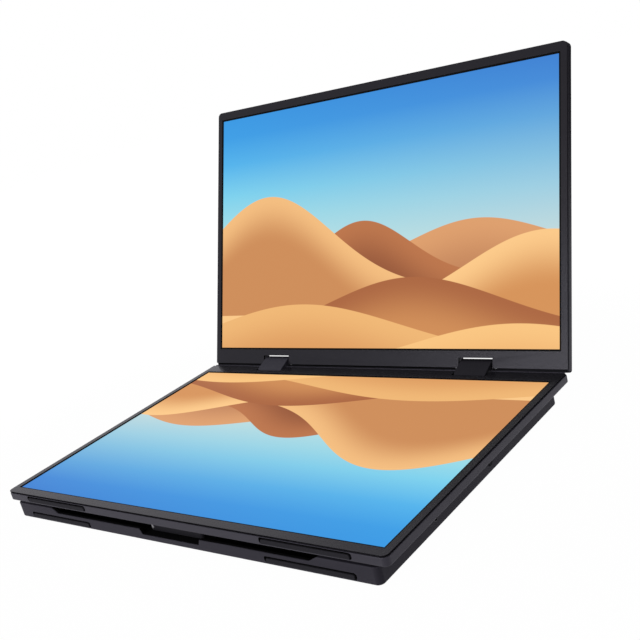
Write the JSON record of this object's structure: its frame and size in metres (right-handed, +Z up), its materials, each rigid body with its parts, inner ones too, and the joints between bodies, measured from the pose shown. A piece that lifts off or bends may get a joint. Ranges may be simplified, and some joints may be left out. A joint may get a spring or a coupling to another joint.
{
  "type": "laptop screen extender",
  "caption": "Folding portable display with a pair of stacked screens hinged like a laptop on a slim base that swings out as a leg.",
  "frame": {"origin": "middle of the base's flat underside", "axes": "+X to the user's right, +Y from the front edge towards the screen hinge, +Z up"},
  "size_m": [0.358, 0.3443, 0.2411],
  "materials": {
    "base_shell": "fine-textured near-black moulded plastic",
    "housing": "fine-textured charcoal moulded plastic",
    "bezel": "matte charcoal",
    "display_glass": "anti-glare display cell, lit from behind",
    "light_sheet": "clear acrylic light guide with white back sheet",
    "steel": "pressed steel, bare",
    "pin_steel": "ground steel pins",
    "black_screw": "black oxide",
    "link": "black coated die-cast cover",
    "rubber": "soft black rubber",
    "board": "green solder mask",
    "chips": "black epoxy",
    "sockets": "nickel-plated shell",
    "jack_body": "black nylon",
    "button": "charcoal cap",
    "ribbon": "amber polyimide",
    "magnet": "nickel-plated",
    "alloy": "bare pressed sheet"
  },
  "bodies": {
    "base": {"base_tray": "base_shell", "base_cover": "base_shell", "base_stiffener": "alloy", "catch_block": "base_shell", "catch_magnet": "magnet", "control_board": "board", "board_chips": "chips", "usb_sockets": "sockets", "hdmi_socket": "sockets", "side_board": "board", "audio_jack": "jack_body", "button_switches": "chips", "speakers": "chips", "base_feet": "rubber", "underside_pads": "rubber", "top_bumpers": "rubber", "base_screws": "black_screw", "base_hinge_brackets": "steel", "base_hinge_pins": "pin_steel", "base_ribbon": "ribbon"},
    "lower_screen": {"lower_housing": "housing", "lower_bezel": "bezel", "lower_display": "display_glass", "lower_backlight": "light_sheet", "lower_frame": "alloy", "lower_panel_board": "board", "lower_ribbon": "ribbon", "lower_magnets": "magnet", "lower_feet": "rubber", "lower_hinge_brackets": "steel", "lower_hinge_pins": "pin_steel", "lower_washers": "steel", "lower_bracket_screws": "black_screw", "base_hinge_arms": "steel", "arm_screws": "black_screw"},
    "hinge_links": {"left_hinge_link": "link", "right_hinge_link": "link"},
    "upper_screen": {"upper_housing": "housing", "upper_bezel": "bezel", "upper_display": "display_glass", "upper_backlight": "light_sheet", "upper_frame": "alloy", "upper_panel_board": "board", "upper_ribbon": "ribbon", "upper_magnets": "magnet", "upper_feet": "rubber", "upper_hinge_brackets": "steel", "upper_hinge_pins": "pin_steel", "upper_washers": "steel", "upper_bracket_screws": "black_screw"},
    "menu_button": {"menu_button": "button"},
    "power_button": {"power_button": "button"}
  },
  "joints": [
    {"name": "base_swing", "type": "hinge", "parent": "base", "child": "lower_screen", "pos_m": [0, 0.11305, 0.009], "axis": [-1, 0, 0], "range_deg": [0, 65]},
    {"name": "link_turn", "type": "hinge", "parent": "lower_screen", "child": "hinge_links", "pos_m": [0, 0.12225, 0.01705], "axis": [-1, 0, 0], "range_deg": [-68, 22]},
    {"name": "lid_turn", "type": "hinge", "parent": "hinge_links", "child": "upper_screen", "pos_m": [0, 0.13013, 0.02023], "axis": [-1, 0, 0], "range_deg": [-45.2, 44.8]},
    {"name": "menu_press", "type": "slide", "parent": "base", "child": "menu_button", "axis": [-1, 0, 0], "range_m": [0, 0.0004], "stiffness_N_per_m": 800},
    {"name": "power_press", "type": "slide", "parent": "base", "child": "power_button", "axis": [1, 0, 0], "range_m": [0, 0.0004], "stiffness_N_per_m": 800}
  ]
}
